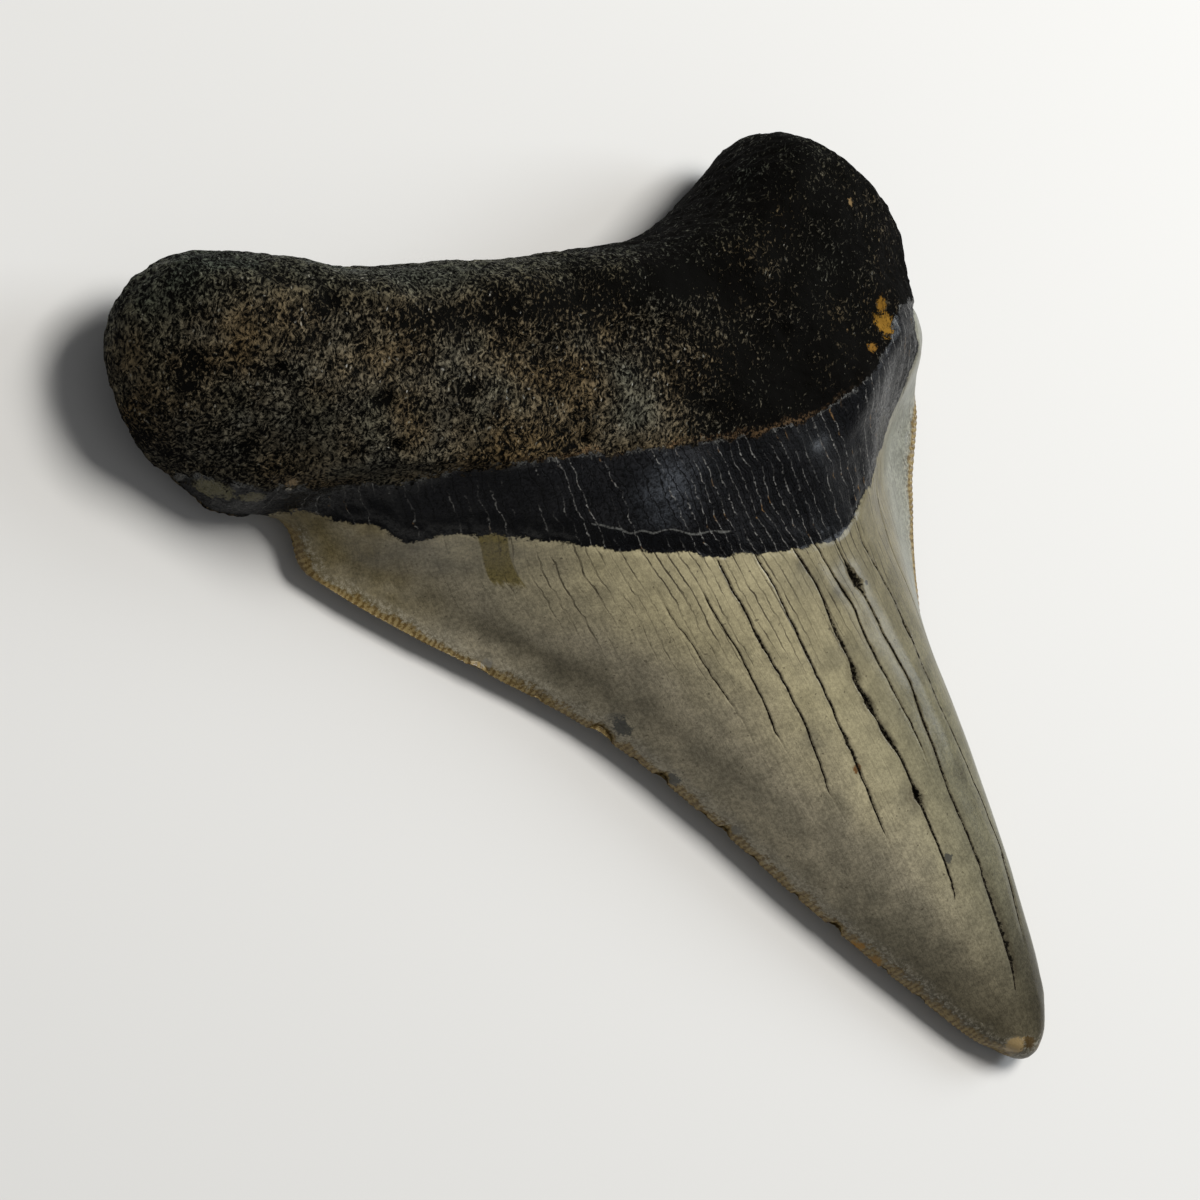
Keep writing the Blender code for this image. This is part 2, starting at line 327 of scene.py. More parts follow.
# Cracks of the crown, which run down the enamel from the dark band. Each has its path as shares down
# and across, and its gape in millimetres against the share down. Lines of the mesh follow them.
CRACKS = (
    (((0.40, 0.345), (0.505, 0.307), (0.565, 0.278), (0.615, 0.247), (0.648, 0.214), (0.80, 0.13),
      (0.90, 0.12), (1.00, 0.19)),
     ((0.45, 0.00), (0.48, 0.07), (0.58, 0.08), (0.66, 0.00))),
    (((0.40, 0.405), (0.477, 0.377), (0.518, 0.365), (0.552, 0.348), (0.600, 0.315), (0.634, 0.282),
      (0.80, 0.18), (0.90, 0.17), (1.00, 0.25)),
     ((0.46, 0.00), (0.48, 0.09), (0.55, 0.12), (0.62, 0.12), (0.655, 0.00))),
    (((0.40, 0.440), (0.444, 0.429), (0.513, 0.411), (0.575, 0.388), (0.633, 0.351), (0.698, 0.292),
      (0.84, 0.22), (0.92, 0.21), (1.00, 0.31)),
     ((0.43, 0.10), (0.47, 0.15), (0.53, 0.20), (0.58, 0.15), (0.66, 0.15), (0.73, 0.00))),
    (((0.40, 0.487), (0.452, 0.485), (0.492, 0.484), (0.560, 0.465), (0.615, 0.441), (0.667, 0.413),
      (0.709, 0.384), (0.749, 0.352), (0.87, 0.27), (1.00, 0.37)),
     ((0.44, 0.10), (0.50, 0.13), (0.54, 0.20), (0.58, 0.15), (0.637, 0.20), (0.645, 0.30), (0.66, 0.17),
      (0.72, 0.14), (0.765, 0.00))),
    (((0.40, 0.545), (0.450, 0.550), (0.487, 0.558), (0.535, 0.549), (0.570, 0.548), (0.592, 0.534),
      (0.641, 0.532), (0.667, 0.538), (0.713, 0.526), (0.757, 0.510), (0.804, 0.480), (0.827, 0.437),
      (0.90, 0.35), (1.00, 0.43)),
     ((0.44, 0.08), (0.46, 0.22), (0.48, 0.14), (0.515, 0.18), (0.535, 0.30), (0.565, 0.26), (0.585, 0.50),
      (0.597, 0.24), (0.615, 0.55), (0.63, 0.24), (0.652, 0.42), (0.67, 0.22), (0.70, 0.20), (0.712, 0.70),
      (0.722, 0.20), (0.80, 0.14), (0.835, 0.00))),
    (((0.40, 0.585), (0.459, 0.593), (0.484, 0.602), (0.512, 0.614), (0.568, 0.615), (0.597, 0.620),
      (0.660, 0.630), (0.72, 0.600), (0.83, 0.52), (0.92, 0.42), (1.00, 0.49)),
     ((0.44, 0.10), (0.48, 0.16), (0.512, 0.28), (0.535, 0.14), (0.566, 0.24), (0.59, 0.13), (0.66, 0.10),
      (0.70, 0.00))),
    (((0.40, 0.620), (0.458, 0.632), (0.481, 0.641), (0.495, 0.648), (0.513, 0.658), (0.561, 0.667),
      (0.586, 0.679), (0.617, 0.684), (0.666, 0.671), (0.725, 0.655), (0.786, 0.652), (0.821, 0.640),
      (0.871, 0.605), (0.900, 0.569), (0.93, 0.505), (1.00, 0.56)),
     ((0.44, 0.06), (0.478, 0.12), (0.486, 0.45), (0.503, 1.10), (0.509, 0.40), (0.52, 0.20), (0.60, 0.20),
      (0.666, 0.26), (0.72, 0.18), (0.80, 0.22), (0.845, 0.34), (0.875, 0.40), (0.90, 0.26), (0.93, 0.00))),
    (((0.40, 0.690), (0.469, 0.701), (0.507, 0.721), (0.535, 0.738), (0.572, 0.753), (0.623, 0.763),
      (0.66, 0.770), (0.733, 0.806), (0.795, 0.838), (0.823, 0.828), (0.856, 0.798), (0.885, 0.762),
      (1.00, 0.67)),
     ((0.44, 0.05), (0.50, 0.14), (0.555, 0.16), (0.575, 0.40), (0.595, 0.16), (0.65, 0.12), (0.72, 0.08),
      (0.78, 0.16), (0.85, 0.14), (0.90, 0.00))),
    (((0.40, 0.800), (0.505, 0.812), (0.526, 0.823), (0.547, 0.845), (0.573, 0.865), (0.62, 0.880),
      (0.84, 0.895), (0.92, 0.83), (1.00, 0.74)),
     ((0.42, 0.00), (0.46, 0.08), (0.56, 0.10), (0.62, 0.05), (0.66, 0.00))),
)
CRACK_KINKS = ((0.10, 2.6), (0.075, 0.85))
CRACK_SPACING = 9.0
TOOTH_LENGTH = 115.0
CRACKS_START = 0.40
CRACK_DEPTH = 0.42
FULL_GAPE = 0.3
DEEPEST = 1.5
WALL_POWER = 0.7
THINNEST = 0.004
SAG = 0.05
SAG_GAPE = 0.15
SAG_WIDTH = 0.95


def reach(down):
    """Distance from the long side to the short one, seen from above."""
    return np.linalg.norm(plan(np.ones_like(down), down) - plan(np.zeros_like(down), down), axis=-1)


def crack_path(number, down):
    """Share across of a crack: the curve through its points, plus two sizes of noise as its kinks."""
    along = np.stack((down * TOOTH_LENGTH, np.full_like(down, CRACK_SPACING * number), 0 * down), axis=-1)
    kinks = sum(height * cloud(along, length, number) for height, length in CRACK_KINKS)
    return level(CRACKS[number][0], down) + kinks / reach(down)


# The mesh: grids of points about as far apart as the detail that they carry, which is finest along
# the serrated cutting edges, joined by rows of triangles.
EDGE_STRIP = 1.3
STRIP_LIMIT = (0.12, 0.045)
STITCH = 0.25
CROWN_FROM = 0.27
CRACKS_FROM = 0.445
TIP_FROM = 0.80
NEXT_ROW = 0.004
ROOT_LANE = 0.4
CROWN_LANE = 0.5
ROOT_SPACING = 0.375
CROWN_SPACING = 0.42
EDGE_SPACING = 0.17
LOWER_SPACING = 0.78
STRIP_COLUMNS = 6
GAP_COLUMNS = (44, 12, 12, 13, 15, 10, 10, 14, 18, 21)
TIP_SHARE = 0.36
CROWDING = 0.55
TRACK_STEPS = 3001
SECTION = (0.02, 0.98)
WIDEST = 0.2


def even(track, first, last, spacing):
    """Parameters from first to last at equal lengths along track: the length is added up over small
    steps, and its inverse is read at equal lengths."""
    fine = np.linspace(first, last, TRACK_STEPS)
    steps = np.linalg.norm(np.diff(track(fine), axis=0), axis=1)
    length = np.concatenate(((0,), np.cumsum(steps)))
    count = round(length[-1] / spacing)
    return np.interp(np.linspace(0, length[-1], count + 1), length, fine)


def border(down, side, width):
    """Share across at which a strip of the given width along one side ends: the width over the reach,
    up to a limit near the tip."""
    share = np.minimum(width / reach(down), STRIP_LIMIT[0] + STRIP_LIMIT[1] * width)
    return share if side == 0 else 1 - share


class Net:
    """Points, each with its shares across and down and its side, and the triangles between them."""

    def __init__(self):
        self.points = []
        self.faces = []
        self.count = 0

    def add_grid(self, across, down, upper):
        """Adds a grid of points with two triangles in each mesh, and returns the points' numbers."""
        numbers = self.count + np.arange(across.size).reshape(across.shape)
        self.count += across.size
        self.points.append(np.stack((across, down, np.full(across.shape, upper)), -1).reshape(-1, 3))
        a, b = numbers[:-1, :-1].ravel(), numbers[1:, :-1].ravel()
        c, d = numbers[1:, 1:].ravel(), numbers[:-1, 1:].ravel()
        self.add_faces(np.stack((a, b, c), -1), upper)
        self.add_faces(np.stack((a, c, d), -1), upper)
        return numbers

    def add_faces(self, faces, upper):
        """Adds triangles, each with the sheet that it lies on."""
        self.faces.append(np.column_stack((faces, np.full(len(faces), upper))))

    def stitch(self, first, second, share, upper):
        """Joins two rows of points by triangles: the points of both are passed in the order of the
        given share, and each is joined to the last one passed on its own row and on the other."""
        points = np.concatenate(self.points)
        where = np.concatenate((points[first[1:], share], points[second[1:], share]))
        on_first = np.arange(len(where)) < len(first) - 1
        order = np.argsort(where, kind="stable")
        on_first = on_first[order]
        at_first = np.cumsum(on_first)
        at_second = np.cumsum(~on_first)
        before = np.where(on_first, first[at_first - 1], second[at_second - 1])
        reached = np.where(on_first, first[at_first], second[at_second])
        other = np.where(on_first, second[at_second], first[at_first])
        self.add_faces(np.stack((before, reached, other), -1), upper)


def strip(net, side, down, upper):
    """A strip along one side from the rim inward, with its columns closer together at the rim."""
    share = np.linspace(0, 1, STRIP_COLUMNS + 1)[:, None] ** 2
    across = side + share * (border(down, side, EDGE_STRIP) - side)
    return net.add_grid(across, np.broadcast_to(down, across.shape), upper)


def filled(net, down, share, upper):
    """A grid over the inside, from strip to strip, with its columns at the given shares."""
    left = border(down, 0, EDGE_STRIP + STITCH)
    right = border(down, 1, EDGE_STRIP + STITCH)
    across = left + share[:, None] * (right - left)
    return net.add_grid(across, np.broadcast_to(down, across.shape), upper)


def cracked(net, down, counts):
    """A grid over the inside whose columns follow the cracks, and crowd toward each of them by a sine
    of the share between two cracks."""
    lines = [border(down, 0, EDGE_STRIP + STITCH)]
    lines += [crack_path(number, down) for number in range(len(CRACKS))]
    lines += [border(down, 1, EDGE_STRIP + STITCH)]
    columns = []
    for left, right, count in zip(lines, lines[1:], counts):
        share = np.arange(count)[:, None] / count
        share = share - CROWDING * np.sin(2 * np.pi * share) / (2 * np.pi)
        columns.append(left + (right - left) * share)
    across = np.concatenate(columns + [lines[-1][None]])
    return net.add_grid(across, np.broadcast_to(down, across.shape), 1)


def even_section(side, spacing):
    """Shares from 0 to 1 between the strips, at equal lengths over the root's section."""
    section = even(lambda a: place_on(a, 0 * a + WIDEST, side + 0 * a), *SECTION, spacing)
    return (section - section[0]) / (section[-1] - section[0])


def make_net():
    """The grids of both sheets, stitched to each other."""
    net = Net()
    root_rows = even(lambda d: place_on(0 * d + ROOT_LANE, d, 1 + 0 * d), 0, CRACKS_FROM, ROOT_SPACING)
    crown_track = lambda d: place_on(0 * d + CROWN_LANE, d, 1 + 0 * d)
    crown_rows = even(crown_track, CRACKS_FROM + NEXT_ROW, TIP_FROM, CROWN_SPACING)
    tip_rows = even(crown_track, TIP_FROM + NEXT_ROW, 1, CROWN_SPACING)
    root = filled(net, root_rows, even_section(1, ROOT_SPACING), 1)
    crown = cracked(net, crown_rows, GAP_COLUMNS)
    tip_counts = [max(2, round(count * TIP_SHARE)) for count in GAP_COLUMNS]
    tip = cracked(net, tip_rows, tip_counts)
    net.stitch(root[:, -1], crown[:, 0], 0, 1)
    net.stitch(crown[:, -1], tip[:, 0], 0, 1)
    lower_rows = even(lambda d: place_on(0 * d + ROOT_LANE, d, 0 * d), 0, 1, LOWER_SPACING)[1:]
    lower = filled(net, lower_rows[:-1], even_section(0, LOWER_SPACING), 0)
    strips = {}
    for side in (0, 1):
        track = lambda d: place_on(side + 0 * d, d, 1 + 0 * d)
        root_edge = even(track, 0, CROWN_FROM, ROOT_SPACING)[:-1]
        rows = np.concatenate((root_edge, even(track, CROWN_FROM, 1, EDGE_SPACING)))
        above = strip(net, side, rows, 1)
        below = strip(net, side, rows, 0)
        strips[side] = (above, below)
        edge = 0 if side == 0 else -1
        main = np.concatenate((root[edge], crown[edge], tip[edge]))
        net.stitch(above[-1], main, 1, 1)
        net.stitch(below[-1], lower[edge], 1, 0)
    for row, rim in ((0, root[:, 0]), (-1, tip[:, -1])):
        rim = np.concatenate(((strips[0][0][-1, row],), rim, (strips[1][0][-1, row],)))
        net.stitch(rim, lower[:, row], 0, 0)
    return net


# Points that two grids share become one, a triangle with all its corners on the rim goes, and every
# triangle is turned to face outwards.
net = make_net()
points = np.concatenate(net.points)
faces = np.concatenate(net.faces)
on_rim = (points[:, :2] % 1 == 0).any(axis=1)
keys = np.column_stack((points[:, :2], np.where(on_rim, 1, points[:, 2])))
keys, renumber = np.unique(keys, axis=0, return_inverse=True)
across, down, upper = keys.T
triangles = renumber.ravel()[faces[:, :3]]
above = faces[:, 3] > 0
kept = ~(keys[triangles, :2] % 1 == 0).any(axis=2).all(axis=1)
triangles, above = triangles[kept], above[kept]
first, second, third = np.moveaxis(keys[triangles, :2], 1, 0)
turn = (second - first)[:, 0] * (third - first)[:, 1] - (second - first)[:, 1] * (third - first)[:, 0]
wrong = (turn > 0) == above
triangles[wrong] = triangles[wrong][:, ::-1]
used = np.unique(triangles)
renumber = np.zeros(len(keys), int)
renumber[used] = np.arange(len(used))
triangles = renumber[triangles]
across, down, upper = across[used], down[used], upper[used]
place = place_on(across, down, upper)

# The surface of the tooth: how far each point of the form stands out or is sunk. The lines between
# root, band and crown, and the root's crease and valley, are shares across and down. A pit has its
# shares across and down, radius and depth, a chip its share down, half length, reach inward and depth.
ROOT_LINE = (
    (0.00, 0.281), (0.02, 0.308), (0.05, 0.330), (0.086, 0.341), (0.123, 0.340), (0.159, 0.336),
    (0.230, 0.329), (0.295, 0.328), (0.383, 0.333), (0.456, 0.336), (0.524, 0.338), (0.60, 0.338),
    (0.661, 0.340), (0.744, 0.338), (0.800, 0.328), (0.850, 0.306), (0.90, 0.280), (1.00, 0.225),
)
ENAMEL_LINE = (
    (0.00, 0.332), (0.015, 0.340), (0.042, 0.359), (0.070, 0.370), (0.100, 0.384), (0.140, 0.386),
    (0.209, 0.388), (0.258, 0.400), (0.32, 0.415), (0.386, 0.428), (0.434, 0.439), (0.512, 0.446),
    (0.584, 0.449), (0.645, 0.452), (0.727, 0.446), (0.769, 0.441), (0.820, 0.430), (0.866, 0.415),
    (0.888, 0.392), (0.884, 0.360), (0.892, 0.325), (0.915, 0.290), (1.00, 0.240),
)
LABIAL_LINE = (
    (0.00, 0.330), (0.10, 0.310), (0.25, 0.315), (0.40, 0.340), (0.50, 0.350), (0.60, 0.340),
    (0.75, 0.315), (0.90, 0.270), (1.00, 0.240),
)
CREASE = ((0.117, 0.088), (0.165, 0.080), (0.212, 0.077), (0.245, 0.088), (0.273, 0.087))
VALLEY = ((0.273, 0.130), (0.371, 0.112), (0.463, 0.119), (0.546, 0.112), (0.630, 0.150))
LABIAL_SEAM = 0.8
LINE_POINTS = 90
LONG_EDGE = (0.30, 1, 110)
SHORT_EDGE = (1, 0.24, 90)
EDGE_RISE = 0.5
SERRATION = 0.68
SERRATION_DEPTH = 0.13
SERRATION_REACH = 0.40
SERRATION_DRIFT = 0.45
PITS = (
    (0.202, 0.241, 0.75, 1.0), (0.190, 0.246, 0.6, 0.8), (0.164, 0.301, 0.6, 0.9),
    (0.352, 0.312, 0.6, 1.1), (0.280, 0.234, 1.1, 0.5), (0.120, 0.190, 0.8, 0.6),
    (0.520, 0.180, 0.7, 0.5), (0.660, 0.250, 0.7, 0.6), (0.191, 0.092, 0.8, 0.6),
    (0.052, 0.158, 1.2, 0.6), (0.742, 0.299, 0.9, 0.4),
)
EDGE_CHIPS = (
    (0.611, 1.15, 2.3, 0.60), (0.664, 0.9, 1.2, 0.45), (0.721, 0.8, 1.2, 0.35),
    (0.514, 1.1, 1.6, 0.32), (0.560, 0.6, 0.8, 0.20), (0.790, 0.6, 0.8, 0.25),
    (0.824, 1.0, 0.9, 0.45), (0.905, 0.7, 0.8, 0.20), (0.700, 0.5, 0.6, 0.15),
    (0.750, 0.6, 0.7, 0.18), (0.640, 0.5, 0.6, 0.15), (0.870, 0.6, 0.7, 0.2),
)


def past(line, place):
    """Signed distance of each place from a line of points, more than 0 on its right-hand side, and
    how far along the line the nearest point is: the best of all its straight pieces."""
    nearest = np.full(len(place), np.inf)
    side = np.ones(len(place))
    run = np.zeros(len(place))
    start_run = 0
    for start, end in zip(line, line[1:]):
        piece = end - start
        length = np.linalg.norm(piece)
        offset = place - start
        share = np.clip(offset @ piece / length**2, 0, 1)
        gap = np.linalg.norm(offset - share[:, None] * piece, axis=1)
        closer = gap < nearest
        nearest[closer] = gap[closer]
        side[closer] = np.sign(piece[1] * offset[closer, 0] - piece[0] * offset[closer, 1])
        run[closer] = start_run + share[closer] * length
        start_run += length
    return nearest * side, run


def line_of(shares):
    """Points in plan of the smooth curve through points given by their shares across and down."""
    share = np.linspace(0, 1, len(shares))
    path = curve_through(np.column_stack((share, shares)), np.linspace(0, 1, LINE_POINTS))
    return plan(path[:, 0], path[:, 1])


def bell(value, middle, width):
    """exp of minus the square of the distance from the middle, in widths."""
    return np.exp(-(((value - middle) / width) ** 2))


def around(at_across, at_down, radius):
    """Such a bell of the distance in plan from a spot of the upper sheet."""
    centre = plan(np.full(1, at_across), np.full(1, at_down))
    return bell(np.linalg.norm(flat - centre, axis=1), 0, radius) * is_up


def outwards(place, triangles):
    """Unit normals of the points: the sum of the cross products of the triangles around each."""
    a, b, c = np.moveaxis(place[triangles], 1, 0)
    facing = np.cross(b - a, c - a)
    total = np.stack([
        sum(np.bincount(triangles[:, corner], facing[:, axis], len(place)) for corner in range(3))
        for axis in range(3)
    ], axis=-1)
    return total / np.linalg.norm(total, axis=1, keepdims=True)


flat = place[:, :2]
x, y, height = place.T
is_up = upper > 0
labial_gap = past(line_of(LABIAL_LINE), flat)[0]
root_gap = np.where(is_up, past(line_of(ROOT_LINE), flat)[0], labial_gap + LABIAL_SEAM)
enamel_gap = past(line_of(ENAMEL_LINE), flat)[0] + 0.35 * rough(place, 3.0, 2, 44)
enamel_gap = np.where(is_up, enamel_gap, labial_gap)
crease_gap = past(line_of(CREASE), flat)[0]
valley_gap = past(line_of(VALLEY), flat)[0] + 0.8 * cloud(place, 3.0, 75)

# The distance from the cutting edges counts half of the rise from the rim too, so that it grows as
# fast on the steep short side. The run along the edges starts at the long side's shoulder.
long_edge = np.linspace(*LONG_EDGE)
short_edge = np.linspace(*SHORT_EDGE)
edge_line = np.concatenate((plan(0 * long_edge, long_edge), plan(1 + 0 * short_edge, short_edge)))
edge_gap, edge_run = past(edge_line, flat)
rim_height = place_on(np.round(across), down, upper)[:, 2]
edge_gap = np.hypot(edge_gap, EDGE_RISE * (height - rim_height))
long_length = np.linalg.norm(np.diff(edge_line[:len(long_edge)], axis=0), axis=1).sum()
along_long = ease(long_length + 2, long_length - 2, edge_run)
edge_run = edge_run + SERRATION_DRIFT * cloud(np.stack((edge_run, 0 * x, 0 * x), -1), 3.1, 90)

on_root = 1 - ease(-0.35, 0.30, root_gap + 0.5 * cloud(place, 1.6, 40))
on_crown = ease(-0.15, 0.45, enamel_gap + 0.3 * cloud(place, 1.3, 41))
on_band = (1 - on_root) * (1 - on_crown)

# The grain of band and crown: lines that lean more in the middle of the tooth than at its sides.
GRAIN_TILT = ((-40.0, 0.30), (-26.0, 0.46), (-12.0, 0.53), (2.0, 0.53), (12.0, 0.45), (25.0, 0.42),
              (35.0, 0.28), (45.0, 0.18))
GRAIN_FROM = 5.0
GRAIN_LEAN = 0.4
GRAIN_WANDER = 0.35
GRAIN_STRETCH = 7.0
leaned = np.clip(x + GRAIN_LEAN * (y - GRAIN_FROM), GRAIN_TILT[0][0], GRAIN_TILT[-1][0])
grain = x + level(GRAIN_TILT, leaned) * (y - GRAIN_FROM) + GRAIN_WANDER * cloud(place, 6.0, 85)
along_grain = np.stack((grain, y / GRAIN_STRETCH, 0 * x), axis=-1)


def crack_relief():
    """How deep the cracks are: a power of the share left to the wall, on top of a bell-shaped sag.
    Also the distance of each point from its nearest crack, counted in half gapes of that crack."""
    sunk = np.zeros(len(place))
    nearest = np.full(len(place), FAR)
    width = reach(down)
    for number, (path, gape) in enumerate(CRACKS):
        away = np.abs(across - crack_path(number, down)) * width
        opening = np.interp(down, *np.transpose(gape)) * (down > CRACKS_START) * is_up
        half = np.maximum(0.5 * opening * (1 + 0.35 * cloud(place, 0.8, number)), THINNEST)
        ratio = away / half
        wall = np.clip(1 - ratio, 0, 1) ** WALL_POWER
        sunk += CRACK_DEPTH * np.minimum(opening / FULL_GAPE, DEEPEST) * wall
        sunk += SAG * np.minimum(opening / SAG_GAPE, 1) * bell(away, 0, SAG_WIDTH)
        nearest = np.minimum(nearest, ratio + FAR * ease(0.08, 0.02, opening))
    return -sunk, nearest


def root_relief():
    """Pebbles that stand highest at their centres, rings of grit and broad swellings, added up, with
    the crease as a ridge, the valley as a trough and the pits as round hollows."""
    pebbles = 0.20 * (0.55 - grains(place, 1.25, 50))
    grit = 0.12 * (0.5 - np.abs(cloud(place, 0.9, 60)) * 2)
    swell = 0.24 * rough(place, 5.0, 3, 70)
    lines = is_up * (0.16 * bell(crease_gap, 0, 0.45) - 0.45 * bell(valley_gap, 0, 1.5))
    hollows = sum(deep * around(*at, radius) for *at, radius, deep in PITS)
    return on_root * (0.15 + pebbles + grit + swell) + lines - hollows


def band_relief():
    """Fine grooves along the grain and soft swellings, lumpier by the enamel, with a groove beside it."""
    grooves = 0.06 * cloud(along_grain, 1.0, 80) + 0.05 * rough(place, 2.0, 2, 82)
    lumpy = 0.10 * rough(place, 0.9, 2, 86) * ease(-2.2, -1.4, enamel_gap)
    return on_band * (grooves + lumpy) - 0.08 * is_up * bell(enamel_gap, -0.30, 0.35)


def crown_relief():
    """The enamel's thickness, eased out to nothing at the edge, with fine grooves and soft waves."""
    enamel = ease(0, 1.6, edge_gap) * (0.10 + 0.03 * cloud(along_grain, 1.3, 84))
    return on_crown * (enamel + 0.05 * rough(place, 6.0, 2, 88))


def edge_relief():
    """Serrations, the size of a sine of the run, dying away inward, then a thin bead, and a hollow
    beside the long edge. A chip is sunk by the share left to its oval rim."""
    lobes = np.abs(np.sin(np.pi * edge_run / SERRATION)) * (0.75 + 0.5 * cloud(place, 2.0, 91))
    teeth = SERRATION_DEPTH * (lobes - 0.5) * np.exp(-edge_gap / SERRATION_REACH)
    bead = 0.04 * bell(edge_gap, 1.1, 0.5) * (1 + cloud(place, 0.7, 92))
    hollow = 0.10 * along_long * bell(edge_gap, 3.8, 1.4)
    total = ease(0.0, 1.5, enamel_gap) * (teeth + bead - hollow)
    for at, half_length, inward, deep in EDGE_CHIPS:
        middle = past(edge_line, plan(np.zeros(1), np.full(1, at)))[1]
        inside = (np.abs(edge_run - middle) / half_length) ** 1.5 + (edge_gap / inward) ** 1.5
        total -= deep * np.clip(1.2 - inside, 0, 1) ** 0.6 * (along_long > 0.5)
    return total


cracks_sunk, crack = crack_relief()
relief = root_relief() + band_relief() + crown_relief() + edge_relief() + cracks_sunk

# The broad colours and masks: each region has its own over the whole tooth, so that the line between
# two of them stays sharp. Colours are linear red, green and blue. A dark patch of the root has its
# shares across and down and its radius, and a smudge of the crown its strength as well.
BROWN_GRAIN = (0.104, 0.072, 0.034)
GREY_GRAIN = (0.092, 0.086, 0.064)
GREEN_GRAIN = (0.052, 0.060, 0.044)
BLACK = (0.0022, 0.0023, 0.0027)
CHARCOAL = (0.0062, 0.0062, 0.0068)
SLATE = (0.034, 0.037, 0.042)
CREAM = (0.335, 0.292, 0.175)
STONE = (0.262, 0.230, 0.160)
OLIVE = (0.250, 0.240, 0.148)
SOOT = (0.098, 0.090, 0.066)
UMBER = (0.066, 0.056, 0.034)
AMBER = (0.120, 0.094, 0.040)
PAINTED_SIDE_SHEEN = (0.190, 0.190, 0.155)
SLATE_PATCH = (0.400, 0.371)
LEDGE_SPAN = (0.30, 0.47)
DARK_PATCHES = ((0.05, 0.16, 2.2), (0.127, 0.190, 2.4), (0.037, 0.184, 2.0), (0.19, 0.095, 1.8),
                (0.28, 0.234, 1.5), (0.20, 0.243, 0.9), (0.55, 0.10, 3.0))
PATCH_STRENGTH = 0.35
SMUDGES = ((0.16, 0.84, 2.6, 0.5), (0.21, 0.865, 2.6, 0.5), (0.115, 0.81, 2.0, 0.4),
           (0.359, 0.639, 1.7, 0.5), (0.05, 0.60, 3.0, 0.35), (0.60, 0.50, 1.3, 0.4),
           (0.55, 0.465, 0.8, 0.5), (0.30, 0.56, 2.5, 0.2))


def mix(share, first, second):
    """Colours from first to second in proportion to share, kept from 0 to 1."""
    share = np.clip(share, 0, 1)[:, None]
    return np.asarray(first) * (1 - share) + np.asarray(second) * share


def root_look():
    """How much of the black root its pale grains cover: less on the right lobe, in the valley and
    patches, low on the sides and in pits. They are grey to brown, and greenish by the margin. Crust
    is where rusty crumbs sit along the band."""
    right_lobe = ease(0, 21, x + 0.3 * (y - 20))
    low_sides = 1 - ease(5, 13, height)
    cover = 0.74 + 0.26 * rough(place, 8.0, 4, 110) - 0.74 * right_lobe - 0.45 * bell(valley_gap, 0, 1.9)
    cover = cover - 0.25 * low_sides + 0.35 * bell(crease_gap, 0, 0.5) + 0.25 * bell(x, 2, 9) * bell(y, 17, 5)
    cover = cover - PATCH_STRENGTH * sum(around(*patch) for patch in DARK_PATCHES)
    cover = cover - sum(0.9 * deep * around(*at, 0.7 * radius) for *at, radius, deep in PITS)
    browned = 0.45 + 0.55 * rough(place, 6.0, 3, 120) + 0.5 * bell(x, -15, 15) * bell(y, 18, 7)
    greened = 0.7 * ease(0.13, 0.03, down) + 0.3 * ease(0.3, 0.8, rough(place, 5.0, 2, 124))
    ground = mix(greened, mix(browned, GREY_GRAIN, BROWN_GRAIN), GREEN_GRAIN)
    crust = bell(x, 2, 9) * ease(-0.25, 0.40, cloud(place, 2.2, 128)) + 0.3 * bell(x, 18, 6)
    return {"root_ground": ground, "cover": cover, "crust": crust}


def band_look():
    """Black, worn to charcoal on the left, with a slate patch. Beads is where the pale streaks show,
    and ledge the distance from a thin pale line along the middle of the band's lower part."""
    worn = 0.25 + 0.6 * (1 - ease(2, 12, x)) - 1.2 * ease(-20, -29, x) + 0.7 * rough(place, 3.0, 3, 132)
    ground = mix(worn, BLACK, CHARCOAL)
    ground = mix(around(*SLATE_PATCH, 2.8) * (1 + 0.6 * cloud(place, 1.5, 134)), ground, SLATE)
    ground = mix(ease(-2.3, -1.5, enamel_gap + 0.4 * cloud(place, 2.0, 135)), ground, BLACK)
    beads = 0.42 + 0.40 * ease(0, 12, x) + 0.55 * cloud(along_grain, 1.2, 136) + 0.40 * cloud(place, 1.0, 138)
    beads = beads - 0.4 * around(*SLATE_PATCH, 2.2)
    within = (across > LEDGE_SPAN[0]) & (across < LEDGE_SPAN[1])
    ledge = np.where(within, enamel_gap + 2.0 + 0.5 * rough(place, 2.4, 2, 137), FAR)
    return {"band_ground": ground, "beads": beads, "ledge": ledge}


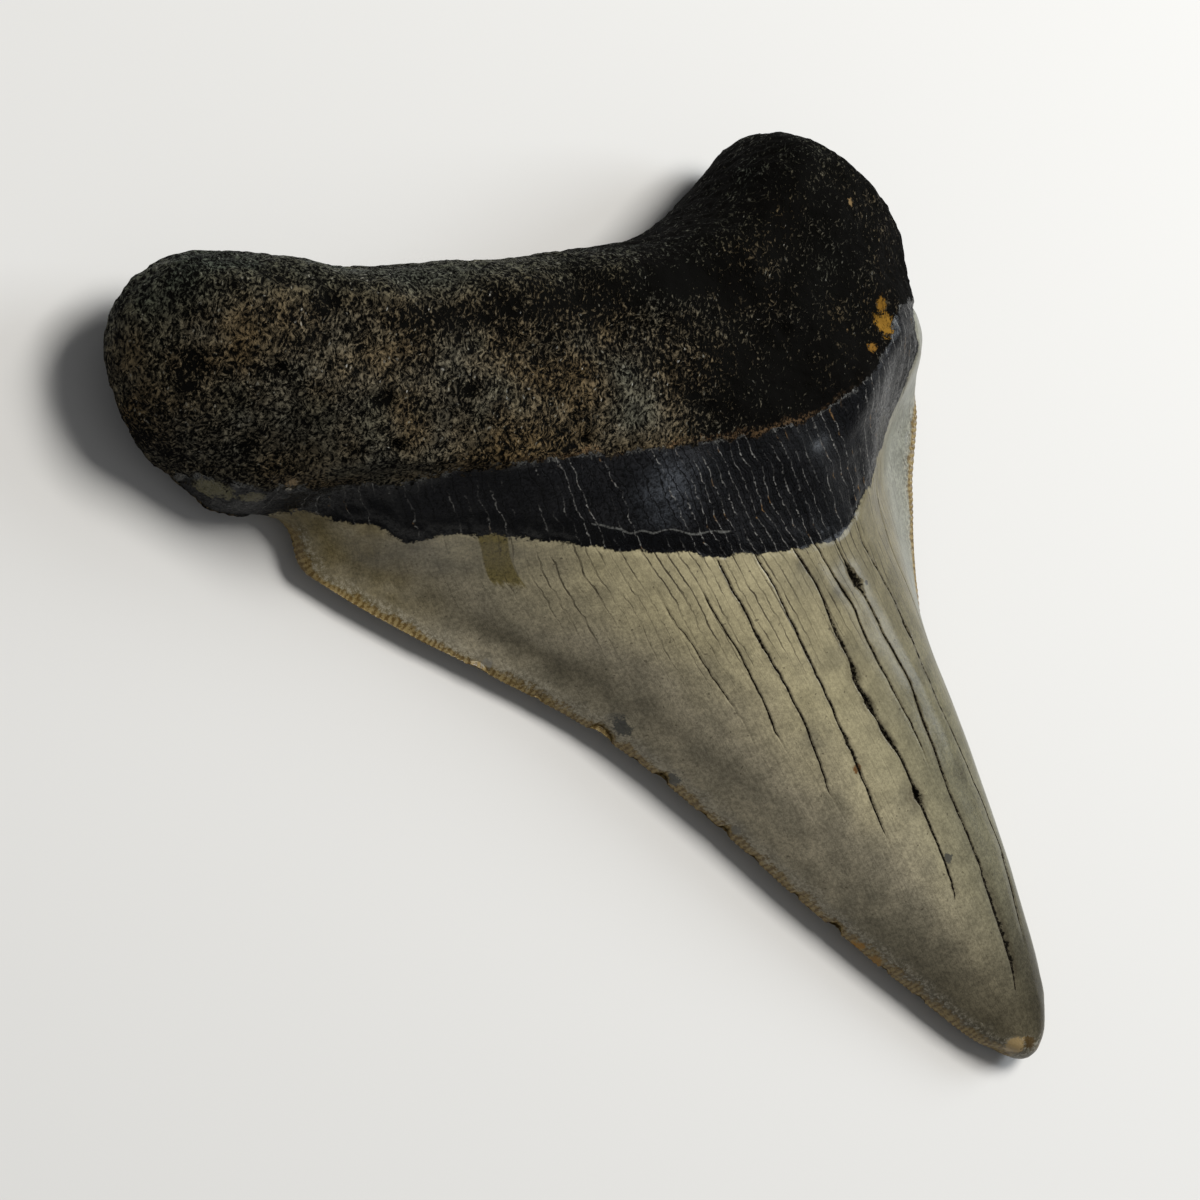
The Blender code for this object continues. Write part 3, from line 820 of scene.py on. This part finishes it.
def crown_ground():
    """Stone and cream, creamiest along the crest, partly its tone and partly painted light, turning olive,
    then each mark over the last: sooty grey with painted shade by the long edge and toward the tip, the
    painted shade strip beside the long edge, smudges, painted shade over darker brown at the tip, the
    shoulder, the darker right, and a painted sheen of rim light on its side."""
    # Partly painted light: the crest is painted lighter, and the long edge and the tip darker.
    crest = ease(0.08, 0.42, across) * (1 - 0.55 * ease(0.55, 0.90, down)) - 0.25 * ease(4, 12, enamel_gap)
    # Painted shade over grey smudging: darker within 3 to 13 mm of the long edge.
    edge_grey_and_shade = along_long * (1 - ease(3.0, 13.0, edge_gap))
    ground = mix(0.18 + crest - 0.30 * edge_grey_and_shade + 0.22 * rough(place, 7.0, 4, 140), STONE, CREAM)
    ground = mix(0.55 * ease(0.30, 0.75, across) * ease(0.48, 0.70, down), ground, OLIVE)
    # Sooty grey, partly real and partly painted shade, which grows by the long edge and toward the tip.
    soot_and_shade = rough(place, 4.0, 5, 150) + 0.40 * edge_grey_and_shade + 0.2 * ease(0.6, 0.9, down)
    ground = mix(0.34 * ease(0.15, 1.15, soot_and_shade), ground, SOOT)
    # Painted shade: an umber strip over the hollow beside the long edge, partly its brownish tone.
    shade_strip = bell(edge_gap + 0.6 * rough(place, 2.5, 3, 152), 3.6, 1.2) * bell(down, 0.52, 0.09)
    ground = mix(0.65 * along_long * shade_strip, ground, UMBER)
    blotched = 1 + 0.8 * rough(place, 1.2, 2, 154)
    for *at, radius, strength in SMUDGES:
        ground = mix(strength * blotched * around(*at, radius), ground, SOOT)
    # Painted shade over a darker brown: umber laid over the crown toward the tip.
    ground = mix(0.92 * ease(0.77, 0.96, down), ground, UMBER)
    shoulder = ease(0.14, 0.05, across) * ease(0.48, 0.41, down) * (0.85 + 0.5 * rough(place, 2.5, 2, 156))
    ground = mix(0.9 * shoulder, ground, AMBER) * (1 - 0.56 * ease(0.40, 0.70, across))[:, None]
    # Painted highlight: the strip along the short side is painted pale as the rim light's sheen.
    return mix(ease(0.84, 0.93, across) * ease(0.96, 0.80, down), ground, PAINTED_SIDE_SHEEN)


def crown_threads():
    """Where fine dark lines run down the crown: most under the band, and few by the long edge. On the
    right they are fissures along the whole crown."""
    threads = ease(0.10, 0.80, 0.60 + 0.65 * cloud(along_grain, 1.25, 158) + 0.25 * cloud(place, 1.5, 159))
    threads = threads * (0.14 + 0.86 * (1 - ease(6.0, 15.0, enamel_gap)))
    threads = threads * (0.25 + 0.75 * ease(0.12, 0.24, across))
    threads = threads * (1 - 0.6 * ease(0.8, 0.9, across)) * ease(0.02, 0.10, across)
    fissures = 0.75 * ease(-0.2, 0.4, cloud(along_grain, 1.0, 161))
    return np.maximum(threads, fissures * ease(0.70, 0.80, across) * ease(0.90, 0.80, down))


looks = {**root_look(), **band_look(), "crown_ground": crown_ground(), "threads": crown_threads(),
         "root_gap": root_gap, "enamel_gap": enamel_gap, "edge_gap": edge_gap, "edge_run": edge_run,
         "crack": crack}
place = place + relief[:, None] * outwards(place, triangles)
place[:, 2] = np.maximum(place[:, 2], 0)
mesh = bpy.data.meshes.new("fossil_tooth")
mesh.from_pydata((place * MM).tolist(), [], triangles.tolist())
mesh.shade_smooth()
for name, values in looks.items():
    if values.ndim == 1:
        mesh.attributes.new(name, "FLOAT", "POINT").data.foreach_set("value", values.astype(np.float32))
    else:
        colours = np.column_stack((values, np.ones(len(values)))).astype(np.float32)
        mesh.attributes.new(name, "FLOAT_COLOR", "POINT").data.foreach_set("color", colours.ravel())
corners = np.empty(len(mesh.loops), int)
mesh.loops.foreach_get("vertex_index", corners)
grain_map = mesh.uv_layers.new(name="grain")
grain_map.data.foreach_set("uv", np.column_stack((grain, y))[corners].ravel().astype(np.float32))
tooth = bpy.data.objects.new("fossil_tooth", mesh)
bpy.context.scene.collection.objects.link(tooth)
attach(tooth, "root")
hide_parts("tooth")

# Its finish. Lengths in the shader are in millimetres. A stain has its centre as shares across and
# down, its radius and its colour.
ROOT_STAINS = ((0.803, 0.318, 1.25, (0.230, 0.120, 0.018)), (0.815, 0.300, 0.8, (0.170, 0.085, 0.012)),
               (0.759, 0.325, 0.55, (0.200, 0.100, 0.018)), (0.838, 0.161, 0.45, (0.180, 0.120, 0.055)),
               (0.044, 0.319, 0.75, (0.260, 0.190, 0.110)), (0.033, 0.322, 0.35, (0.50, 0.46, 0.38)),
               (0.742, 0.299, 0.30, (0.200, 0.130, 0.060)))
CROWN_STAINS = ((0.403, 0.676, 0.42, (0.130, 0.055, 0.012)), (0.519, 0.777, 0.42, (0.055, 0.054, 0.046)),
                (0.675, 0.508, 0.30, (0.030, 0.025, 0.018)), (0.003, 0.845, 0.8, (0.270, 0.130, 0.012)),
                (0.003, 0.862, 0.8, (0.230, 0.120, 0.020)),
                (0.245, 0.976, 1.05, (0.330, 0.235, 0.110)), (0.470, 0.978, 0.80, (0.060, 0.035, 0.010)),
                (0.034, 0.611, 1.25, (0.062, 0.062, 0.054)), (0.012, 0.666, 0.80, (0.080, 0.080, 0.070)),
                (0.014, 0.723, 0.60, (0.160, 0.150, 0.120)), (0.019, 0.514, 0.60, (0.300, 0.280, 0.230)))
BAND_STAINS = ((0.006, 0.298, 1.90, (0.095, 0.085, 0.042)), (0.014, 0.318, 1.10, (0.085, 0.074, 0.036)))
OLIVE_PATCH = (0.115, 0.088, 0.020)
OLIVE_SPAN = (-9.0, -6.7)
OLIVE_SLANT = 0.12
OLIVE_DOWN = 4.2


class Wiring:
    """Adds nodes to one tree. What is fed to a socket is a constant or another node's output."""

    def __init__(self, tree):
        self.tree = tree

    def feed(self, socket, value):
        """Links the value to the socket, or sets it as the socket's constant."""
        if isinstance(value, bpy.types.NodeSocket):
            self.tree.links.new(value, socket)
        else:
            socket.default_value = value

    def add(self, kind, inputs=(), **settings):
        """A new node with these settings, fed by name."""
        made = self.tree.nodes.new("ShaderNode" + kind)
        for name, value in settings.items():
            setattr(made, name, value)
        for name, value in dict(inputs).items():
            self.feed(made.inputs[name], value)
        return made

    def math(self, operation, *values):
        """One step of arithmetic on numbers."""
        made = self.add("Math", operation=operation)
        for socket, value in zip(made.inputs, values):
            self.feed(socket, value)
        return made.outputs[0]

    def times(self, value, *factors):
        """The product of all of them."""
        for factor in factors:
            value = self.math("MULTIPLY", value, factor)
        return value

    def plus(self, value, other, factor):
        """The value plus the other times the factor."""
        return self.math("MULTIPLY_ADD", other, factor, value)

    def vector(self, operation, *values):
        """One step of arithmetic on vectors."""
        made = self.add("VectorMath", operation=operation)
        for socket, value in zip(made.inputs, values):
            self.feed(socket, value)
        return made.outputs["Value" if operation == "DISTANCE" else "Vector"]

    def fade(self, value, start, end, first=0.0, second=1.0):
        """The first number before start, the second after end, and a smooth change between."""
        made = self.add("MapRange", {"Value": value, "From Min": start, "From Max": end, "To Min": first,
                                     "To Max": second}, interpolation_type="SMOOTHSTEP")
        return made.outputs["Result"]

    def line(self, value, half, end):
        """1 where the value is within half of 0, and 0 beyond end."""
        return self.fade(self.math("ABSOLUTE", value), half, end, 1.0, 0.0)

    def blend(self, share, first, second):
        """Colours or numbers, mixed by share."""
        colours = isinstance(first, tuple) or getattr(first, "type", "") == "RGBA"
        made = self.add("Mix", data_type="RGBA" if colours else "FLOAT")
        ends = [s for s in made.inputs if s.enabled]
        self.feed(ends[0], share)
        self.feed(ends[1], (*first, 1.0) if isinstance(first, tuple) else first)
        self.feed(ends[2], (*second, 1.0) if isinstance(second, tuple) else second)
        return [s for s in made.outputs if s.enabled][0]

    def lit(self, colour, factor):
        """The colour times a number."""
        made = self.add("Mix", data_type="RGBA", blend_type="MULTIPLY")
        ends = [s for s in made.inputs if s.enabled]
        self.feed(ends[0], 1.0)
        self.feed(ends[1], colour)
        self.feed(ends[2], factor)
        return [s for s in made.outputs if s.enabled][0]

    def cloud(self, where, size, detail=2.0, roughness=0.5):
        """Noise from about 0.25 to 0.75 with swellings of this size."""
        made = self.add("TexNoise", {"Vector": where, "Scale": 1 / size, "Detail": detail,
                                     "Roughness": roughness})
        return made.outputs["Fac"]

    def ragged(self, fine, clumps):
        """Both noises added up, about 0."""
        return self.math("SUBTRACT", self.math("ADD", fine, clumps), 1.0)

    def stained(self, colour, place, ragged, stains):
        """The colour with round stains over it, whose rims are made ragged by a noise."""
        for at_across, at_down, radius, tint in stains:
            centre = place_on(np.array([at_across]), np.array([at_down]), np.ones(1))[0]
            away = self.vector("DISTANCE", place, tuple(centre))
            away = self.plus(away, ragged, 2.2 * radius)
            colour = self.blend(self.fade(away, 0.70 * radius, 1.15 * radius, 0.9, 0.0), colour, tint)
        return colour


def finish_group(name, inputs, outputs):
    """An empty node group with these sockets, and its wiring."""
    group = bpy.data.node_groups.new(name, "ShaderNodeTree")
    for label, kind in inputs:
        group.interface.new_socket(label, in_out="INPUT", socket_type="NodeSocket" + kind)
    for label, kind in outputs:
        group.interface.new_socket(label, in_out="OUTPUT", socket_type="NodeSocket" + kind)
    wiring = Wiring(group)
    return wiring, group.nodes.new("NodeGroupInput").outputs, group.nodes.new("NodeGroupOutput").inputs


SHARED = (("Place", "Vector"), ("Fine", "Float"), ("Clumps", "Float"), ("Ground", "Color"))
FINISH = (("Colour", "Color"), ("Roughness", "Float"), ("Coat", "Float"), ("Height", "Float"))
ROOT_SLANT = np.radians(34)
ROOT_STRETCH = (1.0, 0.55, 0.8)
SWIRL = 0.7
WORM_SIZE = 0.30
CELLS_PER_MM = 2.7
BLACK_GAP = (0.0022, 0.0020, 0.0016)
PAINTED_GLINT = (0.21, 0.20, 0.16)
RUSTY_CRUMB = (0.25, 0.150, 0.072)


def root_finish():
    """Porous bone: tan and grey grains, longer along the slant than across it, with black gaps."""
    w, given, out = finish_group("root finish", SHARED + (("Cover", "Float"), ("Crust", "Float"),
                                                          ("Gap", "Float")), FINISH)
    place, fine, clumps = given["Place"], given["Fine"], given["Clumps"]
    swirl = w.add("TexNoise", {"Vector": place, "Scale": 1.1, "Detail": 0.0}).outputs["Color"]
    swirled = w.vector("MULTIPLY_ADD", swirl, (SWIRL, SWIRL, SWIRL), place)
    turned = w.add("Mapping", {"Vector": swirled, "Rotation": (0.0, 0.0, ROOT_SLANT)}).outputs[0]
    drawn = w.add("Mapping", {"Vector": turned, "Scale": ROOT_STRETCH}).outputs[0]
    cells = w.add("TexVoronoi", {"Vector": drawn, "Scale": CELLS_PER_MM, "Randomness": 1.0}).outputs
    tones = w.add("SeparateColor", {"Color": cells["Color"]}).outputs
    height = w.plus(w.cloud(drawn, WORM_SIZE, 1.5, 0.6), clumps, 0.34)
    height = w.plus(height, fine, 0.55)
    height = w.math("ADD", height, w.plus(-0.595, given["Cover"], 0.28))
    grain = w.lit(given["Ground"], w.fade(tones[0], 0.0, 1.0, 0.50, 1.40))
    colour = w.blend(w.fade(height, 0.42, 0.72), BLACK_GAP, grain)
    # Painted highlight: near-white glints on some pale grains, partly paler mineral, partly painted light.
    middle = w.fade(cells["Distance"], 0.12, 0.36, 1.0, 0.0)
    bright = w.times(w.fade(tones[1], 0.78, 0.95), middle, w.fade(height, 0.42, 0.56))
    colour = w.blend(w.times(bright, 0.8), colour, PAINTED_GLINT)
    crumbs = w.times(w.line(given["Gap"], 0.30, 0.80), w.fade(fine, 0.44, 0.56), given["Crust"])
    colour = w.blend(crumbs, colour, RUSTY_CRUMB)
    w.feed(out["Colour"], w.stained(colour, place, w.ragged(fine, clumps), ROOT_STAINS))
    w.feed(out["Roughness"], w.fade(height, 0.38, 0.62, 0.90, 0.44))
    w.feed(out["Coat"], w.times(bright, 0.25))
    w.feed(out["Height"], w.plus(w.fade(height, 0.34, 0.74, 0.0, 0.24), fine, 0.08))
    return w.tree


STREAK_STEP = 1.15
HAIR_BLACK = (0.0015, 0.0015, 0.0015)
CHALK = (0.225, 0.218, 0.200)
RUSTY_CHALK = (0.200, 0.115, 0.045)
LIP_GREY = (0.19, 0.19, 0.175)


def band_finish():
    """Glossy blue-black band: beaded pale streaks and hair cracks run down it along the grain."""
    w, given, out = finish_group("band finish", SHARED + (("Grain", "Vector"), ("Beads", "Float"),
                                                          ("Ledge", "Float"), ("Gap", "Float")), FINISH)
    place, fine, clumps = given["Place"], given["Fine"], given["Clumps"]
    lane = w.add("SeparateXYZ", {"Vector": given["Grain"]}).outputs[0]
    lane = w.plus(w.plus(lane, clumps, 1.3), fine, 0.42)
    apart = w.math("PINGPONG", lane, STREAK_STEP / 2)
    streak = w.times(w.fade(apart, 0.01, 0.10, 1.0, 0.0), w.fade(fine, 0.40, 0.60),
                     w.fade(given["Beads"], 0.30, 0.85), w.fade(clumps, 0.40, 0.52, 0.2, 1.0))
    hair = w.fade(apart, STREAK_STEP / 2 - 0.09, STREAK_STEP / 2 - 0.03)
    colour = w.lit(given["Ground"], w.fade(fine, 0.34, 0.68, 0.35, 2.2))
    colour = w.blend(w.times(hair, 0.8), colour, HAIR_BLACK)
    colour = w.blend(streak, colour, w.blend(w.fade(clumps, 0.60, 0.66), CHALK, RUSTY_CHALK))
    lip = w.times(w.line(given["Ledge"], 0.02, 0.13), w.fade(fine, 0.36, 0.56, 0.1, 0.55))
    rim = w.line(w.math("SUBTRACT", given["Gap"], 0.12), 0.03, 0.16)
    rim = w.times(rim, w.fade(clumps, 0.48, 0.60, 0.0, 0.5))
    colour = w.blend(w.math("MAXIMUM", lip, rim), colour, LIP_GREY)
    w.feed(out["Colour"], w.stained(colour, place, w.ragged(fine, clumps), BAND_STAINS))
    w.feed(out["Roughness"], w.fade(fine, 0.36, 0.62, 0.22, 0.45))
    w.feed(out["Coat"], w.fade(fine, 0.46, 0.60, 0.22, 0.04))
    raised = w.plus(w.times(streak, 0.10), hair, -0.08)
    w.feed(out["Height"], w.plus(raised, fine, 0.14))
    return w.tree


THREAD_STEP = 1.0
STROKE_TURN = 2 * np.pi / SERRATION
SILK_STRETCH = (1.0, 0.06, 1.0)
SILK_SIZE = 0.30
SPECK_SIZE = 0.42
THREAD_BROWN = (0.045, 0.036, 0.022)
SPECK_BROWN = (0.045, 0.036, 0.024)
CHALKY_LINE = (0.36, 0.33, 0.26)
DARK_AMBER = (0.105, 0.064, 0.018)
PALE_AMBER = (0.260, 0.190, 0.078)
CRACK_STAIN = (0.070, 0.056, 0.034)
CRACK_DIRT = (0.0055, 0.0045, 0.0030)
CRACK_GRIT = (0.060, 0.050, 0.034)


def olive_patch(w, lane, below, fine, silk):
    """The patch under the band, a slanted strip with a ragged lower end: its mask and its colour."""
    slanted = w.plus(lane, below, -OLIVE_SLANT)
    left, right = OLIVE_SPAN
    lower_end = w.plus(below, silk, 1.5)
    mask = w.times(w.fade(slanted, left - 0.1, left + 0.1),
                   w.fade(slanted, right - 0.1, right + 0.1, 1.0, 0.0),
                   w.fade(lower_end, OLIVE_DOWN, OLIVE_DOWN + 0.8, 0.8, 0.0))
    return mask, w.lit(OLIVE_PATCH + (1.0,), w.fade(fine, 0.3, 0.7, 0.6, 1.5))


def crown_finish():
    """Satin enamel: softly blotched, with fine dark lines along the grain, a translucent amber edge
    inside a chalky strip, and dark dirt in the cracks."""
    w, given, out = finish_group(
        "crown finish", SHARED + (("Grain", "Vector"), ("Threads", "Float"), ("Below", "Float"),
                                  ("Edge", "Float"), ("Run", "Float"), ("Crack", "Float")), FINISH)
    place, fine, clumps, below = given["Place"], given["Fine"], given["Clumps"], given["Below"]
    fine_swing = w.math("SUBTRACT", fine, 0.5)
    drawn = w.add("Mapping", {"Vector": given["Grain"], "Scale": SILK_STRETCH}).outputs[0]
    silk = w.cloud(drawn, SILK_SIZE, 3.0, 0.65)
    lane = w.add("SeparateXYZ", {"Vector": given["Grain"]}).outputs[0]
    stipple = w.times(w.fade(fine, 0.32, 0.68, -1.0, 1.0), w.fade(given["Edge"], 4.0, 18.0, 0.25, 0.12))
    colour = w.lit(given["Ground"], w.math("ADD", stipple, 1.0))
    colour = w.lit(colour, w.fade(silk, 0.34, 0.56, 0.89, 1.02))
    colour = w.lit(colour, w.fade(clumps, 0.36, 0.60, 0.86, 1.06))
    olive, olive_colour = olive_patch(w, lane, below, fine, silk)
    colour = w.blend(olive, colour, olive_colour)
    lane = w.plus(w.plus(lane, fine, 0.20), clumps, 0.65)
    apart = w.math("PINGPONG", lane, THREAD_STEP / 2)
    thread = w.math("DIVIDE", apart, w.plus(0.026, given["Threads"], 0.038))
    thread = w.times(w.fade(thread, 0.6, 2.0, 1.0, 0.0), given["Threads"],
                     w.fade(silk, 0.42, 0.56, 1.0, 0.40))
    colour = w.blend(w.times(thread, 0.9), colour, THREAD_BROWN)
    specks = w.fade(w.cloud(place, SPECK_SIZE, 0.0), 0.79, 0.84, 0.0, 0.6)
    colour = w.blend(specks, colour, SPECK_BROWN)
    inward = w.plus(given["Edge"], fine_swing, 1.5)
    inward = w.plus(inward, w.math("SUBTRACT", clumps, 0.5), 1.6)
    cutting = w.fade(below, 0.3, 2.0)
    chalky = w.times(w.fade(inward, 0.75, 1.1), w.fade(inward, 1.3, 2.1, 1.0, 0.0),
                     w.fade(fine, 0.48, 0.62, 0.05, 0.50), cutting)
    colour = w.blend(chalky, colour, CHALKY_LINE)
    stroke = w.math("SINE", w.times(given["Run"], STROKE_TURN))
    stroke = w.plus(stroke, fine_swing, 12.0)
    amber = w.blend(w.fade(stroke, -1.4, 1.4), DARK_AMBER, PALE_AMBER)
    colour = w.blend(w.times(w.fade(inward, 0.45, 1.00, 0.92, 0.0), cutting), colour, amber)
    colour = w.stained(colour, place, w.ragged(fine, clumps), CROWN_STAINS)
    spread = w.plus(given["Crack"], fine_swing, 3.2)
    colour = w.blend(w.fade(spread, 1.0, 4.5, 0.45, 0.0), colour, CRACK_STAIN)
    dirt = w.fade(spread, 0.70, 1.4, 1.0, 0.0)
    colour = w.blend(dirt, colour, w.blend(w.fade(fine, 0.50, 0.62), CRACK_DIRT, CRACK_GRIT))
    w.feed(out["Colour"], colour)
    w.feed(out["Roughness"], w.blend(dirt, w.fade(fine, 0.3, 0.7, 0.34, 0.52), 0.85))
    w.feed(out["Coat"], w.blend(dirt, 0.28, 0.0))
    raised = w.plus(w.plus(w.times(silk, 0.03), fine, 0.06), thread, -0.04)
    w.feed(out["Height"], w.plus(raised, dirt, -0.10))
    return w.tree


COAT_ROUGHNESS = 0.2
SHEEN = 0.03


def tooth_material():
    """The three finishes, changed over along the ragged lines between root, band and crown. They
    share a fine and a coarse noise."""
    material = bpy.data.materials.new("fossil tooth")
    material.use_nodes = True
    w = Wiring(material.node_tree)
    shader = material.node_tree.nodes["Principled BSDF"]
    metres = w.add("TexCoord").outputs["Object"]
    place = w.add("Mapping", {"Vector": metres, "Scale": (1 / MM, 1 / MM, 1 / MM)}).outputs[0]
    fine = w.cloud(place, 0.38, 3.0, 0.75)
    clumps = w.cloud(place, 2.2, 2.0, 0.6)
    ragged = w.ragged(fine, clumps)
    read = {name: w.add("Attribute", attribute_name=name).outputs for name in looks}
    shared = {"Place": place, "Fine": fine, "Clumps": clumps,
              "Grain": w.add("UVMap", uv_map="grain").outputs[0],
              "Gap": w.plus(read["root_gap"]["Fac"], ragged, 2.0),
              "Below": w.plus(read["enamel_gap"]["Fac"], ragged, 0.75),
              "Edge": read["edge_gap"]["Fac"], "Run": read["edge_run"]["Fac"]}
    finishes = []
    for tree, ground in ((root_finish(), "root_ground"), (band_finish(), "band_ground"),
                         (crown_finish(), "crown_ground")):
        group = w.add("Group", node_tree=tree)
        for socket in group.inputs:
            if socket.name == "Ground":
                w.feed(socket, read[ground]["Color"])
            else:
                w.feed(socket, shared.get(socket.name) or read[socket.name.lower()]["Fac"])
        finishes.append(group.outputs)
    root, band, crown = finishes
    on_band = w.fade(shared["Gap"], -0.10, 0.10)
    on_crown = w.fade(shared["Below"], -0.08, 0.08)
    mixed = {}
    for name, kind in FINISH:
        dark = w.blend(on_band, root[name], band[name])
        mixed[name] = w.blend(on_crown, dark, crown[name])
    w.feed(shader.inputs["Base Color"], mixed["Colour"])
    w.feed(shader.inputs["Roughness"], mixed["Roughness"])
    w.feed(shader.inputs["Coat Weight"], mixed["Coat"])
    shader.inputs["Coat Roughness"].default_value = COAT_ROUGHNESS
    shader.inputs["Specular IOR Level"].default_value = SHEEN
    bump = w.add("Bump", {"Height": mixed["Height"], "Distance": MM})
    w.feed(shader.inputs["Normal"], bump.outputs[0])
    return material


mesh.materials.append(tooth_material())

# The table: one flat pale sheet with a matt finish, which carries the tooth. It is much larger than
# the view, so that no edge of it shows.
HALF_FLOOR = 3.0
floor_mesh = bpy.data.meshes.new("floor")
floor_mesh.from_pydata(
    [(-HALF_FLOOR, -HALF_FLOOR, 0), (HALF_FLOOR, -HALF_FLOOR, 0), (HALF_FLOOR, HALF_FLOOR, 0),
     (-HALF_FLOOR, HALF_FLOOR, 0)], [], [(0, 1, 2, 3)])
floor = bpy.data.objects.new("floor", floor_mesh)
bpy.context.scene.collection.objects.link(floor)
floor_material = bpy.data.materials.new("pale table")
floor_material.use_nodes = True
floor_shader = floor_material.node_tree.nodes["Principled BSDF"]
floor_shader.inputs["Base Color"].default_value = (0.66, 0.65, 0.63, 1.0)
floor_shader.inputs["Roughness"].default_value = 0.8
floor_mesh.materials.append(floor_material)

# The camera looks down on the tooth from over its long lobe, turned as the photograph is. Its view is
# as wide as the photograph's at the tooth.
AIM = Vector((0.0, 7.35, 8.0)) * MM
ELEVATION = np.radians(58)
ROLL = np.radians(14)
DISTANCE = 600 * MM
SENSOR = 36.0
VIEW_WIDTH = 122.4
toward = Vector((-np.cos(ELEVATION), 0.0, np.sin(ELEVATION)))
level_up = Vector((0.0, 1.0, 0.0))
level_right = level_up.cross(toward)
right = np.cos(ROLL) * level_right - np.sin(ROLL) * level_up
up = np.cos(ROLL) * level_up + np.sin(ROLL) * level_right
view = bpy.data.cameras.new("view")
view.sensor_width = SENSOR
view.lens = SENSOR * DISTANCE / (VIEW_WIDTH * MM)
view.clip_start = 0.02
camera = bpy.data.objects.new("view", view)
turned = Matrix((right, up, toward)).transposed().to_4x4()
camera.matrix_world = Matrix.Translation(AIM + toward * DISTANCE) @ turned
bpy.context.scene.collection.objects.link(camera)
bpy.context.scene.camera = camera


# Light: one soft lamp overhead, a small cool one low behind the short edge, which brightens the rim
# of the crown there, and an even pale sky.
def add_lamp(name, spot, size, power, colour):
    """A square lamp that faces the tooth."""
    lamp = bpy.data.lights.new(name, "AREA")
    lamp.size = size
    lamp.energy = power
    lamp.color = colour
    lamp_object = bpy.data.objects.new(name, lamp)
    lamp_object.location = spot
    lamp_object.rotation_euler = (Vector(spot) - AIM).to_track_quat("Z", "Y").to_euler()
    bpy.context.scene.collection.objects.link(lamp_object)


add_lamp("key light", (0.30, 0.24, 0.80), 0.36, 7.6, (1.0, 0.985, 0.955))
add_lamp("rim light", (0.60, 0.05, 0.35), 0.30, 2.4, (0.86, 0.93, 1.0))
world = bpy.data.worlds.new("sky")
world.use_nodes = True
sky = world.node_tree.nodes["Background"]
sky.inputs["Color"].default_value = (0.95, 0.97, 1.0, 1.0)
sky.inputs["Strength"].default_value = 0.18
bpy.context.scene.world = world
bpy.context.scene.view_settings.view_transform = "Standard"
